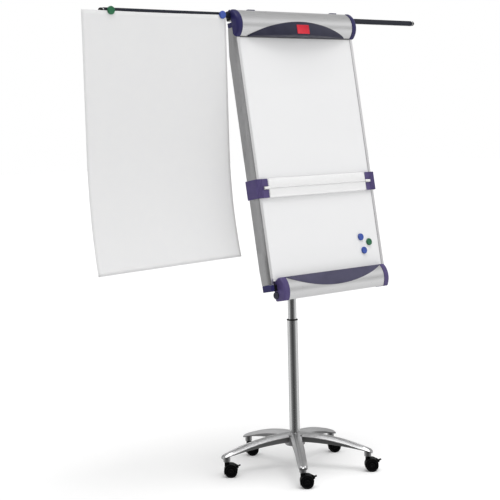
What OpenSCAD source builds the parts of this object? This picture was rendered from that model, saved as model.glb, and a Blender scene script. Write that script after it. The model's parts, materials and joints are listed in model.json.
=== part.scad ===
// Mobile flipchart easel: a framed writing board with a paper clamp, a pen tray, a sliding page
// holder and two pull-out display arms, on a gas-lift column with a five-leg castor base.
// Row frame: origin on the floor under the column axis, +Z up, the board faces -Y, +X is to the
// right of a person who stands in front of the board.
// Board frame: x as the row's, y backwards from the writing face, z up the slope of the board.

/* [Base] */
// Distance from the column axis to each castor stem
stem_circle_r = 322.6; // [280:1:340]
// Height of the top of the hub above the floor
hub_top = 163; // [155:1:175]
// Width of a leg at the hub
leg_root_w = 52; // [46:1:60]
// Width of a leg at its tip
leg_tip_w = 42; // [38:1:48]
// Direction of the first leg, from +X
first_leg_angle = 16.3; // [0:0.1:72]

/* [Castors] */
// Diameter of a castor wheel
wheel_d = 56; // [50:1:60]
// Width over both wheels of one castor
castor_w = 48; // [44:1:54]
// Distance from the swivel axis back to the wheel axle
trail = 17; // [15:1:22]
// Direction in which the castors trail at rest
trail_angle = -41.2; // [-180:0.1:180]

/* [Column] */
// Outer diameter of the fixed column tube
column_d = 45; // [42:0.5:50]
// Height of the top of the column tube
column_top = 660; // [620:1:680]
// Outer diameter of the lifting mast tube
mast_d = 37; // [34:0.5:38]
// Height of the lower end of the mast at rest
mast_bottom = 400; // [380:1:420]
// Height of the upper end of the mast at rest
mast_top = 1088; // [1060:1:1100]

/* [Board] */
// Outer width of the framed board
board_w = 680; // [640:1:720]
// Depth of the side rails behind the writing face
rail_depth = 55.5; // [50:0.5:60]
// Backward lean of the board at rest
lean = 9.88; // [5:0.01:20]
// Height of the tilt pivot above the floor
pivot_z = 1118.7; // [1110:0.1:1130]
// Distance of the tilt pivot in front of the column axis
pivot_reach = 108.05; // [100:0.05:120]
// Distance of the writing face in front of the tilt pivot
face_reach = 85; // [80:1:95]

/* [Display arms] */
// Length of each telescopic arm
arm_len = 690; // [650:1:690]
// Distance from the centre to the tip of the left arm
arm_left_tip = 975; // [900:1:975]
// Distance from the centre to the tip of the right arm
arm_right_tip = 772; // [740:1:800]

/* [Sheet] */
// Width of the hanging sheet
sheet_w = 704; // [600:1:710]
// Length of the hanging sheet
sheet_len = 1006; // [900:1:1010]

/* [Hidden] */
$fn = 64;

// Clearances
run = 0.05;    // radial clearance of a turning or sliding shaft
fit = 0.1;     // gap between two fixed pieces
gap = 0.3;     // gap between two pieces that pass each other
seat = 0.02;   // gap of a press fit

// Base
leg_count = 5;
leg_angles = [for (i = [0 : leg_count - 1]) first_leg_angle + 360 / leg_count * i];
leg_end = stem_circle_r + 21;
leg_tip_top = 95;                 // height of the leg's top edge at its tip
leg_drop = hub_top - leg_tip_top;
leg_top_r = (leg_end * leg_end + leg_drop * leg_drop) / (2 * leg_drop);
leg_root_low = 124;               // height of the leg's lower edge at the hub
leg_low_r = 1500;                 // radius of the leg's lower edge
leg_wall = 4;
leg_groove_w = 9;
leg_groove_depth = 4;
hub_r = 44;
leg_start = hub_r - 6;
leg_hollow_w = 32;
hub_low = 98;
hub_floor = 12;
hub_step = 3.5;                   // the hub's top below the crowns of the legs
boss_h = 34;
boss_r = 15;
leg_tip_chamfer = 7;
boss_low = 66;
stem_r = 5.5;
stem_low = 54;
stem_high = 88;

// Castors
wheel_r = wheel_d / 2;
axle_r = 4;
web_w = 8;                        // central web of the hood, between the wheels
wheel_inner = web_w / 2 + 0.5;    // from the middle plane to a wheel's inner face
hood_r = wheel_r + 2.5;
hood_wall = 1.5;
stem_boss_r = 10.5;
stem_boss_top = 65;
stem_floor = 6;                   // thickness under the blind hole for the stem
brake_at = [28.5, 17];            // brake pivot from the wheel axle: along the trail, up
brake_r = 3;
brake_pin_r = 1.5;
brake_half_w = 9;
brake_side = [[28, 18.5], [29.5, 15.5], [36, 20.5], [41, 21.8], [40.8, 24.4], [35, 23.4]];
ear_side = [[22, 18], [17, 25], [20, 27], [32, 20], [28, 14]];
ear_w = 2;
hood_angles = [42, 205];          // ends of the hood's shell, from the trailing side upwards
wheel_gap = 0.6;                  // gap between hood and wheels

// Column
column_wall = 2.5;
column_in_r = column_d / 2 - column_wall;
column_low = hub_low + hub_floor + fit;
collar_r = 24.5;
collar_h = 9;
collar_sleeve = 60;
mast_wall = 2;
glide_h = 40;
gas_rod_r = 5;
gas_cyl_r = 11;
gas_cyl_wall = 2;
gas_cyl_len = 430;
gas_end = 12;
gas_piston_h = 10;
gas_piston_z = 785;
valve_r = 2.5;

// Head
socket_r = 26;
socket_low = mast_top - 58;
socket_plate = 8;
head_top = mast_top + fit + socket_plate;
tongue_w = 28;
pivot_boss_r = 17;
pivot_r = 6;
lever_at = [20, 8];               // lever pivot: right of the axis, above the socket's top
lever_w = 19;
lever_pin_r = 2;
lever_boss_r = 4.6;
lever_t = 4.6;
grip_size = [34, 30, 8];          // the lever's grip
lever_len = 118;
ear_t = 5.8;

// Board, z measured up the slope from the level of the tilt pivot
side_x = board_w / 2;
lip_w = 20;
rail_wall = 3;
rail_top = 793;
rail_bottom = -270;
rail_in_x = side_x - 18;
panel_t = 12;
skin_t = 1;
panel_top = 770;
panel_bottom = -256;
panel_x = side_x - 15;
beam_h = 40;
beam_z = 110;
beam_back = 34;
plate_t = 4;
plate_w = 140;
plate_h = 280;
screw_r = 3;
screw_head_r = 6;

// Top rail, display arms and clamp
rail_front = 3;
rail_back = 38;
rail_low = 822;
rail_high = 862;
rail_chamfer = [6, 8];
web_t = 6;                        // plate that carries the top rail behind the panel
web_lap = 40;
arm_t = 11;
arm_h = 22;
arm_z = 842;
arm_left_y = 10.5;
arm_right_y = 27;
arm_wall = 1.5;
sleeve_t = 2.8;
knob_r = 13;
cover_at = [33, 807];             // centre of the clamp cover's arc
cover_r = 65;
cover_t = 2.5;
cover_from = -54;
cover_to = 60;
cover_x = 318;
cap_x = board_w / 2 + 7;
cap_r = 67;
cap_face_t = 4;
cap_step = 3;                     // the cap's end face is this much smaller than its rim
cap_reach = 58;                   // angle over which the cap covers the clamp's end
hinge_at = [9, 858.5];
hinge_r = 2.5;
handle_top = 813;
handle_low = 752;
handle_half = 278;
handle_bulge = 50;
handle_tip_z = 757;
badge_size = [74, 38];
badge_low = 759;
strip_clear = 4.3;                // the handle's distance from the face, clear of the grip strip
hook_x = [-219, 259];
hook_head_h = 9;
hook_w = 38;
peg_r = 4;
peg_z = 800;
peg_len = 16;

// Tray
tray_at = [28, -296];
tray_r = 75;
tray_x = 280;
tray_cap_x = 310;
tray_wall = 3;
tray_top = -247;
tray_low = -339;
tray_back = 12.1;
tray_floor = -268;
tray_cap_rim = 2;
insert_depth = -303;
insert_t = 1.2;
tube_at = [4, -316];
tube_r = 12.5;
plug_r = 15;
block_h = 28;

// Page holder
slider_low = 84;
slider_h = 78;
slider_x = side_x + 6.5;
slider_in_x = 285;
slider_front = 12;
page_axis = 11.5;                 // distance of the rod in front of the writing face
page_z = slider_low + 40;
page_rod_r = 2.5;
bush_r = 6;
strip_t = 2;

// Magnets and sheet
magnet_t = 7.5;
board_magnet_r = 15;
board_magnet_at = [[215, -117], [262, -142], [225, -176]];
arm_magnet_r = 16;
arm_magnet_x = [-948, -397];
sheet_t = 0.8;
sheet_y = -50.2;
sheet_top = 1961;
sheet_left = -1082;
curl_len = 260;
curl_r = 620;

arm_level = pivot_z + (arm_z * cos(lean)) + (face_reach - arm_left_y) * sin(lean);

// Places children, drawn in the board frame, in the row frame
module on_board() {
    translate([0, -pivot_reach, pivot_z])
        rotate([-lean, 0, 0])
            translate([0, -face_reach, 0]) children();
}

// Extrudes a section drawn as [distance behind the writing face, height] along x
module along_x(x0, x1) {
    translate([x0, 0, 0]) rotate([90, 0, 90]) linear_extrude(x1 - x0) children();
}

// Children and their mirror image across the middle plane
module both_sides() {
    children();
    mirror([1, 0, 0]) children();
}

// Circular sector, from angle a0 to a1, wide enough to cut a circle of radius r
module sector(r, a0, a1) {
    steps = 8;
    polygon(concat([[0, 0]], [for (i = [0 : steps])
        let (a = a0 + (a1 - a0) * i / steps) 1.1 * r * [cos(a), sin(a)]]));
}

// Arc-shaped strip in front of a centre, between two radii and two angles from straight ahead
module arc_strip(centre, r_in, r_out, a0, a1) {
    translate(centre) mirror([1, 0]) intersection() {
        difference() {
            circle(r = r_out);
            circle(r = r_in);
        }
        sector(r_out, a0, a1);
    }
}

module tube(r_out, r_in, h) {
    difference() {
        cylinder(r = r_out, h = h);
        translate([0, 0, -1]) cylinder(r = r_in, h = h + 2);
    }
}

// ---- Base ----

// Side view of a leg, from the hub to its tip
module leg_side() {
    intersection() {
        difference() {
            translate([0, hub_top - leg_top_r]) circle(r = leg_top_r, $fn = 200);
            translate([0, leg_root_low - leg_low_r]) circle(r = leg_low_r, $fn = 200);
        }
        translate([leg_start, boss_low]) square([leg_end - leg_start, hub_top - boss_low]);
    }
}

module leg_plan() {
    root = leg_root_w / 2;
    tip = leg_tip_w / 2;
    polygon([
        [0, -root], [leg_end - leg_tip_chamfer, -tip], [leg_end, -tip + leg_tip_chamfer],
        [leg_end, tip - leg_tip_chamfer], [leg_end - leg_tip_chamfer, tip], [0, root]
    ]);
}

// Cylinder that follows the arch of a leg's top, at a depth below it
module leg_arch(depth) {
    translate([0, leg_root_w, hub_top - leg_top_r]) rotate([90, 0, 0])
        cylinder(r = leg_top_r - depth, h = 2 * leg_root_w, $fn = 200);
}

module leg() {
    hollow = [leg_start + 14, stem_circle_r - boss_r - 4];
    groove = [leg_start + 10, leg_end - 26];
    difference() {
        union() {
            intersection() {
                translate([0, leg_root_w, 0]) rotate([90, 0, 0])
                    linear_extrude(2 * leg_root_w) leg_side();
                translate([0, 0, boss_low - 1]) linear_extrude(hub_top) leg_plan();
            }
            translate([stem_circle_r, 0, boss_low]) cylinder(r = boss_r, h = boss_h);
        }
        intersection() {
            translate([hollow[0], -leg_hollow_w / 2, boss_low])
                cube([hollow[1] - hollow[0], leg_hollow_w, hub_top - boss_low]);
            leg_arch(leg_groove_depth + leg_wall);
        }
        difference() {
            translate([groove[0], -leg_groove_w / 2, boss_low])
                cube([groove[1] - groove[0], leg_groove_w, hub_top]);
            leg_arch(leg_groove_depth);
        }
        translate([stem_circle_r, 0, 0]) cylinder(r = stem_r + seat, h = stem_high + 0.5);
    }
}

module star_base() {
    color("silver") difference() {
        union() {
            for (a = leg_angles) rotate([0, 0, a]) leg();
            translate([0, 0, hub_low]) cylinder(r = hub_r, h = hub_top - hub_low - hub_step);
        }
        translate([0, 0, hub_low + hub_floor]) cylinder(r = column_d / 2 + seat, h = hub_top);
        translate([0, 0, hub_low - 1]) cylinder(r = gas_rod_r + seat, h = hub_top);
    }
}

module castor_stems() {
    color("gainsboro") for (a = leg_angles) rotate([0, 0, a])
        translate([stem_circle_r, 0, stem_low]) cylinder(r = stem_r, h = stem_high - stem_low);
}

// ---- Castors ----

// Places a castor, drawn at the origin and trailing towards +X, under leg i
module at_castor(i) {
    rotate([0, 0, leg_angles[i]]) translate([stem_circle_r, 0, 0])
        rotate([0, 0, trail_angle - leg_angles[i]]) children();
}

// Turns a side view of the castor, drawn about the wheel axle, into a solid of width w
module castor_side(w) {
    translate([trail, w / 2, wheel_r]) rotate([90, 0, 0]) linear_extrude(w) children();
}

module castor_hood(i) {
    color("black") at_castor(i) difference() {
        union() {
            castor_side(castor_w) intersection() {
                difference() {
                    circle(r = hood_r);
                    circle(r = hood_r - hood_wall);
                }
                sector(hood_r, hood_angles[0], hood_angles[1]);
            }
            castor_side(web_w) difference() {
                intersection() {
                    circle(r = hood_r - hood_wall / 2);
                    sector(hood_r, 0, hood_angles[1]);
                }
                translate(brake_at) circle(r = brake_r + gap);
            }
            castor_side(web_w) circle(r = axle_r + 4);
            translate([0, 0, stem_low - stem_floor])
                cylinder(r = stem_boss_r, h = stem_boss_top - stem_low + stem_floor);
            for (side = [-1, 1]) translate([0, side * (brake_half_w + gap + ear_w / 2), 0])
                castor_side(ear_w) difference() {
                    union() {
                        translate(brake_at) circle(r = 5);
                        polygon(ear_side);
                    }
                    circle(r = hood_r - hood_wall);
                }
            castor_side(2 * brake_half_w + 2 * ear_w) translate(brake_at) circle(r = brake_pin_r);
        }
        castor_side(castor_w + 2) circle(r = axle_r + run);
        translate([0, 0, stem_low - gap]) cylinder(r = stem_r + run, h = stem_boss_top);
        difference() {
            castor_side(castor_w + 2) circle(r = wheel_r + wheel_gap);
            castor_side(web_w) circle(r = wheel_r + wheel_gap);
        }
    }
}

module wheel_set(i) {
    wheel_w = castor_w / 2 - wheel_inner;
    color("dimgray") at_castor(i) {
        castor_side(castor_w - 2) circle(r = axle_r);
        for (side = [-1, 1]) translate([0, side * (wheel_inner + wheel_w / 2), 0])
            castor_side(wheel_w) circle(r = wheel_r);
    }
}

module castor_brake(i) {
    color("black") at_castor(i) castor_side(2 * brake_half_w) difference() {
        union() {
            translate(brake_at) circle(r = brake_r);
            polygon(brake_side);
        }
        translate(brake_at) circle(r = brake_pin_r + run);
    }
}

// ---- Column and gas lift ----

module column_tube() {
    color("silver") translate([0, 0, column_low]) tube(column_d / 2, column_in_r, column_top - column_low);
}

module column_collar() {
    color("black") {
        translate([0, 0, column_top + fit]) tube(collar_r, mast_d / 2 + run, collar_h);
        translate([0, 0, column_top - collar_sleeve])
            tube(column_in_r - seat, mast_d / 2 + run, collar_sleeve + fit);
    }
}

module gas_spring_rod() {
    color("gainsboro") {
        translate([0, 0, hub_low]) cylinder(r = gas_rod_r, h = gas_piston_z - hub_low);
        translate([0, 0, gas_piston_z]) cylinder(r = gas_cyl_r - gas_cyl_wall - fit, h = gas_piston_h);
    }
}

module gas_spring_cylinder() {
    low = mast_top - gas_cyl_len;
    color("dimgray") difference() {
        translate([0, 0, low]) cylinder(r = gas_cyl_r, h = gas_cyl_len);
        translate([0, 0, low + gas_end])
            cylinder(r = gas_cyl_r - gas_cyl_wall, h = gas_cyl_len - 2 * gas_end);
        translate([0, 0, low - 1]) cylinder(r = gas_rod_r + run, h = gas_end + 2);
        translate([0, 0, mast_top - gas_end - 1]) cylinder(r = valve_r + run, h = gas_end + 2);
    }
}

module gas_valve_pin() {
    color("orange") translate([0, 0, mast_top - gas_end + 4])
        cylinder(r = valve_r, h = gas_end - 4 + fit + socket_plate + 5);
}

module mast_tube() {
    color("silver") translate([0, 0, mast_bottom])
        tube(mast_d / 2, mast_d / 2 - mast_wall, mast_top - mast_bottom);
}

module mast_glide() {
    color("white") translate([0, 0, mast_bottom]) tube(column_in_r - run, mast_d / 2 + seat, glide_h);
}

// ---- Head ----

// A flat plate of width w, drawn in side view as [y, z], across the middle plane
module side_plate(w, x = 0) {
    translate([x - w / 2, 0, 0]) rotate([90, 0, 90]) linear_extrude(w) children();
}

module head_bracket() {
    lever_z = head_top + lever_at[1];
    color("dimgray") difference() {
        union() {
            translate([0, 0, socket_low]) cylinder(r = socket_r, h = head_top - socket_low);
            side_plate(tongue_w) {
                translate([-pivot_reach, pivot_z]) circle(r = pivot_boss_r);
                polygon([
                    [0, socket_low + 6], [0, head_top], [-pivot_boss_r, head_top],
                    [-pivot_reach + 4, pivot_z + pivot_boss_r - 1],
                    [-pivot_reach - 4, pivot_z - pivot_boss_r + 1], [-70, pivot_z - 46]
                ]);
            }
            for (side = [-1, 1]) translate([lever_at[0], side * (lever_w / 2 + gap + 2), 0]) {
                translate([0, 2, lever_z]) rotate([90, 0, 0]) cylinder(r = 5, h = 4);
                translate([-5, -2, head_top - 2]) cube([10, 4, lever_at[1] + 2]);
            }
        }
        translate([0, 0, socket_low - 1])
            cylinder(r = mast_d / 2 + seat, h = mast_top + fit - socket_low + 1);
        translate([0, 0, mast_top]) cylinder(r = valve_r + 1, h = 30);
        side_plate(tongue_w + 2) translate([-pivot_reach, pivot_z]) circle(r = pivot_r + run);
        translate([lever_at[0], lever_w, lever_z]) rotate([90, 0, 0])
            cylinder(r = lever_pin_r + seat, h = 2 * lever_w);
    }
}

module lever_pin() {
    color("gainsboro") translate([lever_at[0], lever_w / 2 + 6, head_top + lever_at[1]])
        rotate([90, 0, 0]) cylinder(r = lever_pin_r, h = lever_w + 12);
}

module lift_lever() {
    lever_z = head_top + lever_at[1];
    finger_z = head_top + 5 + gap;
    color("black") difference() {
        union() {
            translate([lever_at[0], lever_w / 2, lever_z]) rotate([90, 0, 0])
                cylinder(r = lever_boss_r, h = lever_w);
            translate([-6, -lever_w / 2, finger_z]) cube([lever_at[0] + 6, lever_w, 5]);
            translate([lever_at[0], -lever_w / 2, lever_z - 2]) cube([lever_len - 40, lever_w, lever_t]);
            translate([lever_len - 24, -grip_size[1] / 2, lever_z - grip_size[2] / 2]) cube(grip_size);
            for (side = [-1, 1])
                translate([lever_len - 24 + grip_size[0] / 2, side * grip_size[1] / 2, lever_z])
                    rotate([0, 90, 0]) cylinder(r = grip_size[2] / 2, h = grip_size[0], center = true);
        }
        translate([lever_at[0], lever_w, lever_z]) rotate([90, 0, 0])
            cylinder(r = lever_pin_r + run, h = 2 * lever_w);
    }
}

module mount_plate() {
    back = beam_back + fit;
    color("dimgray") on_board() {
        translate([-plate_w / 2, back, -plate_h / 2]) difference() {
            cube([plate_w, plate_t, plate_h]);
            for (x = [20, plate_w - 20], z = [plate_h / 2 - beam_z, plate_h / 2 + beam_z])
                translate([x, -1, z]) rotate([-90, 0, 0]) cylinder(r = screw_r + 0.1, h = plate_t + 2);
        }
        for (side = [-1, 1]) side_plate(ear_t, side * (tongue_w / 2 + 0.2 + ear_t / 2)) difference() {
            union() {
                translate([face_reach, 0]) circle(r = pivot_boss_r);
                polygon([
                    [back + 1, 60], [face_reach + 6, pivot_boss_r - 1.2],
                    [face_reach + 6, -pivot_boss_r + 1.2], [back + 1, -60]
                ]);
            }
            translate([face_reach, 0]) circle(r = pivot_r + seat);
        }
    }
}

module pivot_bolt() {
    head_x = tongue_w / 2 + ear_t + 0.4;
    color("gainsboro") on_board() translate([0, face_reach, 0]) rotate([0, 90, 0]) {
        translate([0, 0, -head_x]) cylinder(r = pivot_r, h = head_x + 38);
        translate([0, 0, -head_x - 7]) cylinder(r = 10, h = 7, $fn = 6);
    }
}

module tilt_knob() {
    knob_x = tongue_w / 2 + ear_t + 0.5;
    lobe_r = 20;
    color("black") on_board() translate([knob_x, face_reach, 0]) rotate([0, 90, 0]) difference() {
        union() {
            cylinder(r = 11, h = 10);
            translate([0, 0, 9]) cylinder(r = lobe_r, h = 15);
        }
        translate([0, 0, -1]) cylinder(r = pivot_r + run, h = 19.5);
        for (a = [0 : 60 : 300]) rotate([0, 0, a]) translate([lobe_r + 5, 0, 8]) cylinder(r = 9, h = 20);
    }
}

// ---- Board ----

module writing_sheet() {
    color("white") on_board() translate([-panel_x, 0, panel_bottom])
        cube([2 * panel_x, skin_t, panel_top - panel_bottom]);
}

module panel_core() {
    color("lightgray") on_board() translate([-panel_x, skin_t + seat, panel_bottom])
        cube([2 * panel_x, panel_t - skin_t - seat, panel_top - panel_bottom]);
}

// Side view of a rail, drawn in at the back by a margin; its upper end narrows to the top rail
module rail_side(margin) {
    back = rail_depth - margin;
    polygon([
        [-2, rail_bottom], [-2, rail_top], [rail_back + 2 - margin, rail_top],
        [back, rail_top - 110], [back, rail_bottom + 60], [back - 4, rail_bottom]
    ]);
}

module side_rails() {
    color("silver") on_board() both_sides() difference() {
        along_x(rail_in_x - 2, side_x) rail_side(0);
        translate([rail_in_x - 3, -3, rail_bottom - 1])
            cube([5 - lip_w + 18, 100, rail_top - rail_bottom + 2]);
        translate([0, -fit, rail_bottom - 1])
            cube([side_x - rail_wall, panel_t + 2 * fit, rail_top - rail_bottom + 2]);
        along_x(rail_in_x + rail_wall, side_x - rail_wall) intersection() {
            rail_side(rail_wall);
            translate([panel_t + rail_wall, rail_bottom - 1]) square([100, rail_top - rail_bottom + 2]);
        }
    }
}

module rear_beams() {
    x = rail_in_x - fit;
    color("silver") on_board() for (z = [-beam_z, beam_z]) difference() {
        translate([-x, panel_t + fit, z - beam_h / 2]) cube([2 * x, beam_back - panel_t - fit, beam_h]);
        translate([-x - 1, panel_t + fit + 2, z - beam_h / 2 + 2])
            cube([2 * x + 2, beam_back - panel_t - fit - 4, beam_h - 4]);
        for (side = [-1, 1]) translate([side * (plate_w / 2 - 20), beam_back - 4, z])
            rotate([-90, 0, 0]) cylinder(r = screw_r + seat, h = 8);
    }
}

module frame_screws() {
    color("gainsboro") on_board() for (x = [-1, 1], z = [-beam_z, beam_z])
        translate([x * (plate_w / 2 - 20), beam_back + fit + plate_t + seat, z]) {
            rotate([-90, 0, 0]) cylinder(r = screw_head_r, h = 3);
            translate([0, -12, 0]) rotate([-90, 0, 0]) cylinder(r = screw_r, h = 12.5);
        }
}

// Plastic blocks that close the ends of the side rails
module rail_end_blocks() {
    plug_in = rail_in_x + rail_wall + fit;
    plug_out = side_x - rail_wall - fit;
    plug_y = panel_t + rail_wall + 1;
    color("darkslateblue") on_board() both_sides() {
        translate([rail_in_x, 4, rail_top + fit]) cube([side_x + 2 - rail_in_x, 33, 21]);
        translate([plug_in, plug_y, rail_top - 20]) cube([plug_out - plug_in, 12, 20 + fit + 1]);
        translate([tray_cap_x + fit, -9, rail_bottom - fit - block_h])
            cube([side_x + 5 - tray_cap_x - fit, 54, block_h]);
        translate([plug_in, plug_y, rail_bottom - fit - 1]) cube([plug_out - plug_in, 24, 21]);
    }
}

// Section of the fixed top rail, as [behind the face, up]
module top_rail_section() {
    difference() {
        polygon([
            [rail_front, rail_low], [rail_front, rail_high - rail_chamfer[1]],
            [rail_front + rail_chamfer[0], rail_high], [rail_back - 3, rail_high],
            [rail_back, rail_high - 3], [rail_back, rail_low]
        ]);
        for (y = [arm_left_y, arm_right_y])
            translate([y - arm_t / 2 - fit, arm_z - arm_h / 2 - fit])
                square([arm_t + 2 * fit, arm_h + 2 * fit]);
    }
}

module top_rail() {
    web_x = rail_in_x - fit;
    color("silver") on_board() {
        along_x(-side_x + fit, side_x - fit) top_rail_section();
        translate([-web_x, panel_t + fit, panel_top - web_lap])
            cube([2 * web_x, web_t, rail_low + 1 - panel_top + web_lap]);
    }
}

// End plates of the top rail, with a slot that guides each display arm
module arm_sleeves() {
    color("black") on_board() both_sides() difference() {
        along_x(side_x, side_x + sleeve_t) {
            translate([4, rail_low + 2]) square([33, rail_high - rail_low - 5]);
            translate([7, rail_low + 2]) square([27, rail_high - rail_low - 2]);
            for (y = [7, 34]) translate([y, rail_high - 3]) circle(r = 3);
        }
        for (y = [arm_left_y, arm_right_y])
            translate([side_x - 1, y - arm_t / 2 - fit, arm_z - arm_h / 2 - fit])
                cube([sleeve_t + 2, arm_t + 2 * fit, arm_h + 2 * fit]);
        translate([side_x - 1, hinge_at[0], hinge_at[1]]) rotate([0, 90, 0])
            cylinder(r = hinge_r + seat, h = sleeve_t + 2);
    }
}

module hinge_pins() {
    color("gainsboro") on_board() both_sides() translate([side_x + 0.1, hinge_at[0], hinge_at[1]])
        rotate([0, 90, 0]) cylinder(r = hinge_r, h = cap_x - side_x - 0.6);
}

// ---- Pen tray ----

module tray_outline(grow) {
    intersection() {
        translate(tray_at) circle(r = tray_r + grow);
        polygon([
            [-60, tray_top + grow], [-14, tray_top + grow], [-1, panel_bottom - 0.7],
            [tray_back, panel_bottom - 0.7], [tray_back, tray_low - grow], [-60, tray_low - grow]
        ]);
    }
}

module tray_rail() {
    color("gainsboro") on_board() along_x(-tray_x, tray_x) difference() {
        tray_outline(0);
        intersection() {
            translate(tray_at) circle(r = tray_r - tray_wall);
            translate([-60, tray_floor]) square([60 + tray_back + 1, 40]);
        }
        translate([-27, tray_floor]) square([60, 40]);
        intersection() {
            translate(tray_at) circle(r = tray_r - tray_wall);
            translate([-60, tray_low + tray_wall])
                square([60 + tray_back - tray_wall, tray_floor - tray_low - 2 * tray_wall]);
        }
        translate(tube_at) circle(r = tube_r + fit);
    }
}

// Crescent-shaped cover on the upper front of the tray
module tray_insert() {
    sag = tray_top - insert_depth;
    plan_r = (tray_x * tray_x + sag * sag) / (2 * sag);
    color("darkslateblue") on_board() intersection() {
        along_x(-tray_x, tray_x)
            arc_strip(tray_at, tray_r + seat, tray_r + insert_t, -20, 42);
        translate([0, 0, insert_depth + plan_r]) rotate([90, 0, 0])
            cylinder(r = plan_r, h = 100, $fn = 200);
    }
}

module tray_caps() {
    round_r = 6;
    color("darkslateblue") on_board() both_sides() difference() {
        union() {
            along_x(tray_x + seat, tray_cap_x - round_r) tray_outline(tray_cap_rim);
            along_x(tray_x + seat, tray_cap_x - round_r / 3) tray_outline(tray_cap_rim - 2);
            along_x(tray_x + seat, tray_cap_x) tray_outline(tray_cap_rim - round_r);
            translate([tray_x + seat, tube_at[0], tube_at[1]]) rotate([0, 90, 0])
                cylinder(r = plug_r + 1, h = tray_cap_x - tray_x - seat);
        }
        translate([tray_x - 1, tube_at[0], tube_at[1]]) rotate([0, 90, 0])
            cylinder(r = tube_r + seat, h = 40);
    }
}

module tray_tube() {
    color("dimgray") on_board() {
        translate([-tray_cap_x, tube_at[0], tube_at[1]]) rotate([0, 90, 0])
            tube(tube_r, tube_r - 2, 2 * tray_cap_x);
        both_sides() translate([tray_cap_x - 1, tube_at[0], tube_at[1]]) rotate([0, 90, 0]) {
            cylinder(r = tube_r, h = 1 + fit);
            translate([0, 0, 1 + fit]) cylinder(r = plug_r, h = 5);
        }
    }
}

// ---- Clamp ----

module clamp_bar() {
    color("silver") on_board() along_x(-cover_x, cover_x)
        arc_strip(cover_at, cover_r - cover_t, cover_r, cover_from, cover_to);
}

// Side view of the handle: an upright front with rounded-off edges above and below
module handle_section() {
    difference() {
        polygon([
            [-strip_clear, handle_top + 2], [18 - handle_bulge, handle_top + 2],
            [6 - handle_bulge, handle_top - 4], [-handle_bulge, handle_top - 12],
            [-handle_bulge, handle_low + 6], [6 - handle_bulge, handle_low], [-strip_clear, handle_low]
        ]);
        translate(cover_at) circle(r = cover_r + seat);
    }
}

module handle_solid() {
    rise = handle_top - handle_tip_z;
    front_r = (handle_half * handle_half + rise * rise) / (2 * rise);
    swell = handle_bulge - 4;
    plan_r = ((handle_half + 12) * (handle_half + 12) + swell * swell) / (2 * swell);
    intersection() {
        along_x(-handle_half - 10, handle_half + 10) handle_section();
        translate([0, 0, handle_top - front_r]) rotate([90, 0, 0])
            cylinder(r = front_r, h = 120, $fn = 200);
        translate([0, plan_r - handle_bulge, handle_low - 1]) cylinder(r = plan_r, h = 80, $fn = 200);
    }
}

// Blank plate let into the middle of the handle's front
module badge_plate(grow) {
    translate([-badge_size[0] / 2 - grow, -handle_bulge - 0.6, badge_low - grow])
        cube([badge_size[0] + 2 * grow, 2.4 + grow, badge_size[1] + 2 * grow]);
}

module clamp_handle() {
    color("midnightblue") on_board() difference() {
        handle_solid();
        badge_plate(fit);
    }
}

module clamp_badge() {
    color("crimson") on_board() badge_plate(0);
}

module clamp_caps() {
    face_x = cap_x - cap_face_t;
    color("darkslateblue") on_board() both_sides() difference() {
        union() {
            along_x(cover_x + fit, face_x)
                arc_strip(cover_at, cover_r - cover_t, cap_r, cover_from - 1, cap_reach);
            along_x(face_x, cap_x) {
                arc_strip(cover_at, 0.01, cap_r - cap_step, -cap_reach, cap_reach);
                intersection() {
                    translate(cover_at) circle(r = cap_r - cap_step);
                    translate([-60, 751]) square([65, 120]);
                }
                translate(hinge_at) circle(r = 5);
            }
        }
        translate([face_x - 1, 5, 745]) cube([10, 60, hinge_at[1] - 5 - 745]);
        translate([face_x - 1, hinge_at[0], hinge_at[1]]) rotate([0, 90, 0])
            cylinder(r = hinge_r + run, h = 10);
    }
}

module grip_strip() {
    color("black") on_board() translate([-cover_x + 3, -3.5, 750]) cube([2 * cover_x - 6, 3.1, 6]);
}

// ---- Pad hooks ----

module pad_hook(x) {
    strap_t = 1.5;
    front = rail_front - fit;
    top = rail_high + fit;
    color("darkslateblue") on_board() {
        along_x(x - hook_w / 2, x + hook_w / 2) {
            polygon([
                [front, peg_z - 10], [front, rail_high - rail_chamfer[1] + 0.1],
                [rail_front + rail_chamfer[0], top], [rail_back - 4, top],
                [rail_back - 4, top + strap_t], [rail_front + rail_chamfer[0] - 0.8, top + strap_t],
                [front - strap_t, rail_high - rail_chamfer[1] - 0.4], [front - strap_t, peg_z - 10]
            ]);
            translate([14, top]) square([18, hook_head_h]);
        }
        translate([x, front - strap_t / 2, peg_z]) rotate([90, 0, 0])
            cylinder(r = peg_r, h = peg_len + strap_t / 2);
    }
}

// ---- Page holder ----

module page_sliders() {
    rib_r = 1.1;
    color("darkslateblue") on_board() both_sides() difference() {
        union() {
            translate([side_x + 0.2, -slider_front, slider_low])
                cube([slider_x - side_x - 0.2, slider_front + rail_depth + 2.5, slider_h]);
            translate([slider_in_x, -slider_front, slider_low])
                cube([slider_x - slider_in_x, slider_front - 2.2, slider_h]);
            translate([slider_x - 16, rail_depth + gap, slider_low]) cube([16, 2.2, slider_h]);
            for (i = [0 : 4]) translate([side_x - 13 + 4.4 * i, -slider_front, slider_low])
                cylinder(r = rib_r, h = slider_h, $fn = 24);
        }
        translate([slider_in_x - 1, -slider_front - 3, page_z - bush_r - 1])
            cube([27, slider_front, 2 * bush_r + 2]);
    }
}

module page_bushes() {
    color("white") on_board() both_sides() translate([slider_in_x - 2, -page_axis, page_z])
        rotate([0, 90, 0]) tube(bush_r, page_rod_r + run, 27);
}

module page_rod() {
    color("gainsboro") on_board() translate([-slider_in_x - 20, -page_axis, page_z])
        rotate([0, 90, 0]) cylinder(r = page_rod_r, h = 2 * slider_in_x + 40);
}

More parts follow.
